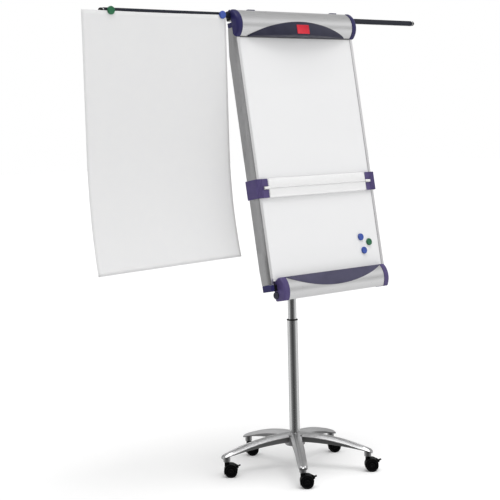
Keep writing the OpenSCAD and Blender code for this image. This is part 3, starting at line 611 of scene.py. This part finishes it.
def clamp_handle():
    """Crescent grip under the cover: arched above, bulging forward in the middle, pointed at its ends."""
    rise = HANDLE_TOP - HANDLE_TIP
    front_r = (HANDLE_HALF ** 2 + rise ** 2) / (2 * rise)
    swell = HANDLE_BULGE - 0.004
    half = HANDLE_HALF + 0.012
    plan_r = (half ** 2 + swell ** 2) / (2 * swell)
    rings = []
    steps, back_steps = 60, 8
    for i in range(steps + 1):
        x = HANDLE_HALF * math.sin(math.pi / 2 * (2 * i / steps - 1))
        top = max(HANDLE_TOP - front_r + math.sqrt(front_r ** 2 - x * x), HANDLE_TIP)
        reach = HANDLE_BULGE - plan_r + math.sqrt(plan_r ** 2 - x * x)
        back = []
        for j in range(back_steps + 1):
            z = top + (HANDLE_LOW - top) * j / back_steps
            y = COVER_AT[0] - math.sqrt((COVER_R + 0.0001) ** 2 - (z - COVER_AT[1]) ** 2)
            back.append((min(y, -0.0044), z))
        reach = max(reach, -back[0][0] + 0.0012)
        depth = reach + back[0][0]
        soft = min(0.006, depth * 0.45)
        height = top - HANDLE_LOW
        low_soft = min(0.005, height * 0.3, (reach - 0.0044) * 0.4)
        front = [(-reach + low_soft * 1.2, HANDLE_LOW),
                 (-reach + low_soft * 0.35, HANDLE_LOW + low_soft * 0.35),
                 (-reach, HANDLE_LOW + low_soft * 1.2), (-reach, top - soft * 1.6),
                 (-reach + soft * 0.25, top - soft * 0.8), (-reach + soft * 0.8, top - soft * 0.25),
                 (-reach + soft * 1.6, top)]
        rings.append([(x, y, z) for y, z in back + front])
    piece("clamp_handle_crescent", *loft(rings), ["clamp_handle"], place=BOARD, smooth=40)


def chamfered_box(low, high, cut=0.0012):
    """Box with chamfered edges all round, between two corners."""
    rings = []
    for z, inset in ((low[2], cut), (low[2] + cut, 0), (high[2] - cut, 0), (high[2], cut)):
        x0, x1, y0, y1 = low[0] + inset, high[0] - inset, low[1] + inset, high[1] - inset
        rings.append([(x0 + cut, y0, z), (x1 - cut, y0, z), (x1, y0 + cut, z), (x1, y1 - cut, z),
                      (x1 - cut, y1, z), (x0 + cut, y1, z), (x0, y1 - cut, z), (x0, y0 + cut, z)])
    return loft(rings)


def rail_end_blocks():
    """Blue end blocks of the side rails; the lower pair carries a short block towards the tray, coloured
    black as painted shade where that front face lies in shadow.
    """
    upper = merged(chamfered_box((0.3222, 0.0042, 0.7932), (0.3418, 0.0368, 0.8138)),
                   chamfered_box((0.3262, 0.0162, 0.7740), (0.3368, 0.0278, 0.7945)))
    lower = merged(chamfered_box((0.3270, -0.0088, -0.2979), (0.3448, 0.0448, -0.2703)),
                   chamfered_box((0.3272, 0.0162, -0.2715), (0.3366, 0.0398, -0.2510)))
    shade_spacer = chamfered_box((0.3102, -0.0078, -0.2969), (0.3272, 0.0438, -0.2713))
    blue = merged(upper, lower)
    piece("rail_end_block_set", *both_sides(blue), ["rail_end_blocks"], place=BOARD, smooth=20)
    # black on this part is painted shade for the shadowed front face beside the tray cap
    piece("rail_end_shade_spacers", *both_sides(shade_spacer), ["rail_end_blocks"], place=BOARD, smooth=20,
          slot="black_plastic")


def clamp_badge():
    """Blank red plate on the handle, with a low rim."""
    half_w, half_h, corner = 0.0345, 0.019, 0.0025
    middle = 0.778
    outline = rounded_corners(half_w, half_h, corner, 4)
    rings = []
    for y, inset in ((-0.0484, 0), (-0.0509, 0), (-0.0514, 0.0005), (-0.0514, 0.0016), (-0.0511, 0.0020)):
        rings.append([(x * (1 - inset / half_w), y, middle + z * (1 - inset / half_h)) for x, z in outline])
    piece("clamp_badge_plate", *loft(rings), ["clamp_badge"], place=BOARD, smooth=30)


ROD_Z = 0.124                      # height of the page holder's rod up the slope


def side_rails():
    """Aluminium rails: a lip in front of the writing sheet and an outer face that rounds into it."""
    inner, outer, lip_front, slot = 0.322, 0.340, -0.002, 0.333
    rounding, round_depth, steps = 0.0050, 0.026, 10
    rings = []
    for z, back in ((-0.270, 0.0515), (-0.210, 0.0555), (0.683, 0.0555), (0.793, 0.0400)):
        side = []
        for i in range(steps + 1):
            y = lip_front + round_depth * i / steps
            side.append((outer - rounding * (1 - i / steps) ** 2, y))
        section = [(inner, lip_front)] + side + [
            (outer, back - 0.0015), (outer - 0.0015, back), (inner, back), (inner, 0.0121),
            (slot, 0.0121), (slot, -0.0001), (inner, -0.0001)]
        rings.append([(x, y, z) for x, y in section])
    rail = loft(rings)
    piece("side_rail_pair", *both_sides(rail), ["side_rails"], place=BOARD, smooth=20)


def page_sliders():
    """Sliders that wrap the rails, with grip grooves on the front corner and a slot for the rod's bush."""
    inner, outer, front, back = 0.2850, 0.3465, -0.0120, 0.0580
    plate_back, wall_in, hook_front, hook_in = -0.0022, 0.3402, 0.0560, 0.3305
    low, high = 0.084, 0.162
    corner_r, steps, straight, chamfer = 0.009, 12, 34, 0.0012
    grooved_to, slot_end, slot_floor = 0.3130, 0.3110, -0.0030
    first_groove, pitch, width, depth = 0.005, 0.0078, 0.0050, 0.0021
    slot_low, slot_high = ROD_Z - 0.007, ROD_Z + 0.007
    start = outer - corner_r
    path = []                      # x, y and outward normal along the corner and the grooved front
    for i in range(steps + 1):
        nx, ny = math.cos(TAU / 4 * i / steps), -math.sin(TAU / 4 * i / steps)
        path.append((start + corner_r * nx, front + corner_r + corner_r * ny, nx, ny))
    path += [(start + (grooved_to - start) * i / straight, front, 0, -1) for i in range(1, straight + 1)]
    skin = [(outer - chamfer, back), (outer, back - chamfer)]
    travelled = -first_groove
    for i, (x, y, nx, ny) in enumerate(path):
        if i:
            travelled += math.dist((x, y), path[i - 1][:2])
        phase = travelled % pitch
        sunk = depth * math.sin(math.pi * phase / width) if travelled > 0 and phase < width else 0
        skin.append((x - nx * sunk, y - ny * sunk))
    rings = []
    for z, slotted in ((low, False), (slot_low, False), (slot_low, True), (slot_high, True),
                       (slot_high, False), (high, False)):
        if slotted:
            tip = [(slot_end, front), (slot_end, slot_floor), (inner, slot_floor)]
        else:
            tip = [(inner + 0.0010, front), (inner, front + 0.0010), (inner, slot_floor)]
        section = skin + tip + [(inner, plate_back), (wall_in, plate_back), (wall_in, hook_front),
                                (hook_in, hook_front), (hook_in, back)]
        rings.append([(x, y, z) for x, y in section])
    slider = loft(rings)
    piece("page_slider_pair", *both_sides(slider), ["page_sliders"], place=BOARD, smooth=24)


clamp_caps()
clamp_handle()
clamp_badge()
rail_end_blocks()
side_rails()
page_sliders()


# ---------------------------------------------------------------- tray
TRAY_AT = (0.028, -0.296)
TRAY_R = 0.075
TRAY_X = 0.280
TRAY_CAP_X = 0.310
TUBE_AT = (0.004, -0.316)


def tray_outline(grow):
    """[y, z] side view of the tray, grown all round."""
    top, low = -0.247 + grow, -0.339 - grow
    r = TRAY_R + grow
    first = math.asin((top - TRAY_AT[1]) / r)
    last = math.asin((low - TRAY_AT[1]) / r)
    arc = [on_arc(TRAY_AT, r, first + (last - first) * i / 24) for i in range(25)]
    back = 0.0121
    return arc + [(back, low), (back, -0.2567), (-0.001, -0.2567), (-0.014, top)]


def tray_caps():
    """End caps of the tray, rounded on the outside, each with a boss for the cross tube."""
    rings = []
    for x, grow in ((TRAY_X + 0.0002, 0.0020), (0.3000, 0.0020), (0.3050, 0.0012), (0.3082, -0.0008),
                    (0.3096, -0.0034), (TRAY_CAP_X, -0.0065)):
        rings.append([(x, y, z) for y, z in tray_outline(grow)])
    boss = lathe([(0, 0.2810), (0.0160, 0.2810), (0.0160, 0.3085), (0.0152, TRAY_CAP_X), (0, TRAY_CAP_X)])
    boss = moved(boss, Matrix.Translation((0, *TUBE_AT)) @ TURN_X)
    cap = merged(loft(rings), boss)
    piece("tray_cap_pair", *both_sides(cap), ["tray_caps"], place=BOARD, smooth=32)


def tray_tube():
    """Tube through the tray with a dished plug in each end."""
    plug = [(0, 0.3100), (0.0138, 0.3101), (0.0150, 0.3110), (0.0150, 0.3136), (0.0140, 0.3150),
            (0.0112, 0.3151), (0.0106, 0.3144), (0, 0.3144)]
    rod = [(0, -0.3095), (0.0125, -0.3095), (0.0125, 0.3095), (0, 0.3095)]
    at = Matrix.Translation((0, *TUBE_AT)) @ TURN_X
    end = moved(lathe(plug), at)
    piece("tray_tube_and_plugs", *merged(moved(lathe(rod), at), end, mirrored(end)), ["tray_tube"],
          slot="navy_plastic", place=BOARD, smooth=32)


tray_caps()
tray_tube()


# ---------------------------------------------------------------- magnets
def magnet(r):
    """Magnet on its back face, facing -Y: rounded rim, milled grip and a dished front."""
    notches, notch_depth = 28, 0.0004
    steps = notches * 4
    profile = [(0.0, 0, 0), (0.96, 0, 0), (1.0, 0.0004, 0), (1.0, 0.0012, 1), (1.0, 0.0044, 1),
               (1.0, 0.0052, 0), (0.97, 0.0064, 0), (0.90, 0.0073, 0), (0.80, 0.0075, 0),
               (0.72, 0.0072, 0), (0.40, 0.0067, 0), (0.0, 0.0066, 0)]
    rings = []
    for scale, depth, grip in profile:
        ring = []
        for i in range(steps):
            a = TAU * i / steps
            radius = r * scale - (notch_depth if grip and i % 4 in (0, 1) else 0)
            ring.append((radius * math.cos(a), -depth, radius * math.sin(a)))
        rings.append(ring)
    return loft(rings, ends=False)


def magnets():
    """Three on the board, and the two that hold the page on its arm."""
    for i, (x, z) in enumerate(((0.215, -0.117), (0.262, -0.142), (0.225, -0.176))):
        at = BOARD @ Matrix.Translation((x, -0.0001, z))
        piece(f"board_magnet_{i + 1}", *magnet(0.015), ["board_magnets"], place=at, smooth=30,
              slot="green_plastic" if i == 1 else "blue_plastic")
    for name in ("arm_magnet_outer", "arm_magnet_inner"):
        low, high = (Vector(c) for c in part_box(name))
        at = Matrix.Translation(((low.x + high.x) / 2, high.y, (low.z + high.z) / 2))
        piece(f"{name}_disc", *magnet(0.016), [name], place=at, smooth=30)


magnets()


# ---------------------------------------------------------------- display arms
ARM_LEN = 0.690
ARM_Z = 0.842
ARM_H = 0.022
ARM_T = 0.011
ARM_CORNER = 0.0022
BALL_R = 0.0106


def display_arm(name, y, tip, side):
    """Flat telescopic tube with rounded corners, a chrome collar and a ball knob at its tip."""
    section = rounded_corners(ARM_T / 2, ARM_H / 2, ARM_CORNER, 3)
    tube = loft([[(side * x, y + sy, ARM_Z + sz) for sy, sz in section] for x in (tip - ARM_LEN, tip)])
    at = BOARD @ Matrix.Translation((0, y, ARM_Z)) @ (TURN_X if side > 0 else TURN_X @ Matrix.Rotation(
        math.pi, 4, "X"))
    collar = lathe([(0, tip), (0.0104, tip), (0.0111, tip + 0.0008), (0.0111, tip + 0.0022),
                    (0.0105, tip + 0.0026), (0.0105, tip + 0.0030), (0.0111, tip + 0.0034),
                    (0.0110, tip + 0.0048), (0.0100, tip + 0.0050), (0, tip + 0.0050)], 36)
    ball_at = tip + 0.0092
    ball = lathe([(0, tip + 0.0046)] + [(BALL_R * math.sin(math.radians(a)),
                                         ball_at - BALL_R * math.cos(math.radians(a)))
                                        for a in range(68, 181, 8)] + [(0, ball_at + BALL_R)], 36)
    piece(f"{name}_tube", *tube, [name], place=BOARD, smooth=30)
    piece(f"{name}_collar", *collar, [name], place=at, slot="chrome", smooth=30)
    piece(f"{name}_knob", *ball, [name], place=at, slot="black_plastic", smooth=40)


display_arm("arm_left", 0.0105, 0.975, -1)
display_arm("arm_right", 0.027, 0.772, 1)


# ---------------------------------------------------------------- hanging sheet
def hanging_sheet():
    """One page: held by two magnets, nearly flat above, curling forward towards its lower edge."""
    low, high = (Vector(c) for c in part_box("hanging_sheet"))
    width = high.x - low.x
    length = high.z - low.z
    columns, rows = 48, 68
    face = high.y - 0.0008
    verts = []
    for j in range(rows + 1):
        down = j / rows
        for i in range(columns + 1):
            across = i / columns
            sag = 0.0022 * math.sin(math.pi * across) * math.exp(-9 * down)
            curl = (0.050 + 0.006 * across) * max(0.0, (down - 0.50) / 0.50) ** 2.2
            wave = (0.0030 * math.sin(4.1 * across + 1.3 + 1.7 * down) * down
                    + 0.0014 * math.sin(9.7 * across - 2.3 * down) * down * (1 - 0.5 * down))
            lift = 0.017 * across * max(0.0, (down - 0.40) / 0.60) ** 2
            verts.append(Vector((low.x + width * across, face - curl - wave - 0.004 * down * (1 - down),
                                 high.z - length * down - sag + lift)))
    count = columns + 1
    faces = [(j * count + i, j * count + i + 1, (j + 1) * count + i + 1, (j + 1) * count + i)
             for j in range(rows) for i in range(columns)]
    sheet = piece("hanging_page", verts, faces, ["hanging_sheet"], smooth=60)
    thick = sheet.modifiers.new("paper thickness", "SOLIDIFY")
    thick.thickness = 0.0005
    bpy.context.view_layer.objects.active = sheet
    sheet.select_set(True)
    bpy.ops.object.modifier_apply(modifier=thick.name)
    sheet.select_set(False)
    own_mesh(sheet)


hanging_sheet()


# ---------------------------------------------------------------- studio
CAMERA_AT = Vector((-3.924, -4.208, 1.548))
CAMERA_YAW = math.radians(41.238)       # to the right of +Y
CAMERA_PITCH = math.radians(5.721)      # downwards
CAMERA_ROLL = math.radians(-1.472)
CAMERA_LENS = 95.8                      # on a 36 mm sensor

BACKDROP = 1.0                          # world as the camera sees it
AMBIENT = 0.68                          # soft light from all round
FRONT_BIAS = 0.42                       # how much more of it comes from the bright side
BRIGHT_SIDE = (0.75, -0.66, 0.0)
REFLECTED = 1.25                        # strength of the studio in reflections
TOWARDS_CAMERA = (-0.682, -0.731, 0.0)
# [cosine, level] of the reflected studio around the camera's direction, and above the horizon
AROUND = ((-1.0, 0.60), (-0.62, 0.60), (-0.10, 0.85), (0.15, 0.78), (0.40, 0.38), (0.75, 0.18), (1.0, 0.07))
ABOVE = ((-1.0, 0.70), (-0.50, 0.75), (-0.14, 0.95), (-0.05, 0.55), (0.10, 0.55), (0.35, 0.95), (0.70, 0.50),
         (1.0, 0.65))
FLOOR_LIFT = 0.13                       # glow of the floor towards the camera only


def camera():
    """Camera from place, yaw, pitch and roll."""
    forward = Vector((math.sin(CAMERA_YAW) * math.cos(CAMERA_PITCH),
                      math.cos(CAMERA_YAW) * math.cos(CAMERA_PITCH),
                      -math.sin(CAMERA_PITCH)))
    right = Vector((math.cos(CAMERA_YAW), -math.sin(CAMERA_YAW), 0))
    above = right.cross(forward)
    rolled_right = math.cos(CAMERA_ROLL) * right + math.sin(CAMERA_ROLL) * above
    rolled_above = -math.sin(CAMERA_ROLL) * right + math.cos(CAMERA_ROLL) * above
    data = bpy.data.cameras.new("camera")
    data.lens = CAMERA_LENS
    data.sensor_width = 36
    made = bpy.data.objects.new("camera", data)
    bpy.context.scene.collection.objects.link(made)
    made.matrix_world = Matrix.Translation(CAMERA_AT) @ Matrix(
        (rolled_right, rolled_above, -forward)).transposed().to_4x4()
    bpy.context.scene.camera = made


def world():
    """Plain white for the camera and for soft light; in reflections, a studio with darker zones."""
    made = bpy.data.worlds.new("studio")
    bpy.context.scene.world = made
    made.use_nodes = True
    tree = made.node_tree
    direction = tree.nodes.new("ShaderNodeTexCoord").outputs["Generated"]

    def number(kind, first, second):
        node = tree.nodes.new("ShaderNodeMath")
        node.operation = kind
        for socket, value in zip(node.inputs, (first, second)):
            if isinstance(value, (int, float)):
                socket.default_value = value
            else:
                tree.links.new(value, socket)
        return node.outputs[0]

    def profile(along, stops):
        """Light over the cosine to a direction, through [cosine, level] stops."""
        dot = tree.nodes.new("ShaderNodeVectorMath")
        dot.operation = "DOT_PRODUCT"
        dot.inputs[1].default_value = along
        tree.links.new(direction, dot.inputs[0])
        ramp = tree.nodes.new("ShaderNodeValToRGB")
        ramp.color_ramp.interpolation = "EASE"
        elements = ramp.color_ramp.elements
        while len(elements) < len(stops):
            elements.new(0.5)
        for element, (cosine, level) in zip(elements, stops):
            element.position = (cosine + 1) / 2
            element.color = (level, level, level, 1)
        half = number("MULTIPLY", dot.outputs["Value"], 0.5)
        tree.links.new(number("ADD", half, 0.5), ramp.inputs["Fac"])
        return ramp.outputs["Color"]

    glow = number("MULTIPLY", profile(TOWARDS_CAMERA, AROUND), profile((0, 0, 1), ABOVE))
    path = tree.nodes.new("ShaderNodeLightPath")
    lean = tree.nodes.new("ShaderNodeVectorMath")
    lean.operation = "DOT_PRODUCT"
    lean.inputs[1].default_value = BRIGHT_SIDE
    tree.links.new(direction, lean.inputs[0])
    soft = number("ADD", number("MULTIPLY", lean.outputs["Value"], FRONT_BIAS), AMBIENT)
    plain_light = number("ADD", number("MULTIPLY", path.outputs["Is Camera Ray"],
                                       number("SUBTRACT", BACKDROP, soft)), soft)
    seen = number("MULTIPLY", path.outputs["Is Glossy Ray"],
                  number("SUBTRACT", number("MULTIPLY", glow, REFLECTED), plain_light))
    tree.links.new(number("ADD", plain_light, seen), tree.nodes["Background"].inputs["Strength"])
    tree.nodes["Background"].inputs["Color"].default_value = (1, 1, 1, 1)


def floor():
    """Plain pale floor that glows a little towards the camera and stays out of reflections."""
    half = 30
    mesh = bpy.data.meshes.new("floor")
    mesh.from_pydata([(-half, -half, 0), (half, -half, 0), (half, half, 0), (-half, half, 0)], [],
                     [(0, 1, 2, 3)])
    ground = bpy.data.objects.new("floor", mesh)
    bpy.context.scene.collection.objects.link(ground)
    s = Shader("floor")
    s.set(Base_Color=(0.9, 0.9, 0.9, 1), Roughness=0.8, Specular_IOR_Level=0.0, Emission_Color=(1, 1, 1, 1))
    path = s.node("ShaderNodeLightPath")
    lifted = s.node("ShaderNodeMath", operation="MULTIPLY")
    lifted.inputs[1].default_value = FLOOR_LIFT
    s.link(path.outputs["Is Camera Ray"], lifted.inputs[0])
    s.link(lifted.outputs[0], s.bsdf.inputs["Emission Strength"])
    mesh.materials.append(s.material)
    ground.visible_glossy = False


def sun(name, come_from, strength, softness):
    """Sun from a direction; softness is its width in degrees."""
    light = bpy.data.lights.new(name, "SUN")
    light.energy = strength
    light.angle = math.radians(softness)
    made = bpy.data.objects.new(name, light)
    bpy.context.scene.collection.objects.link(made)
    made.matrix_world = Vector(come_from).to_track_quat("Z", "Y").to_matrix().to_4x4()


bpy.context.scene.view_settings.view_transform = "Standard"
camera()
world()
floor()
sun("overhead", (-0.15, -0.30, 1.0), 1.35, 38)
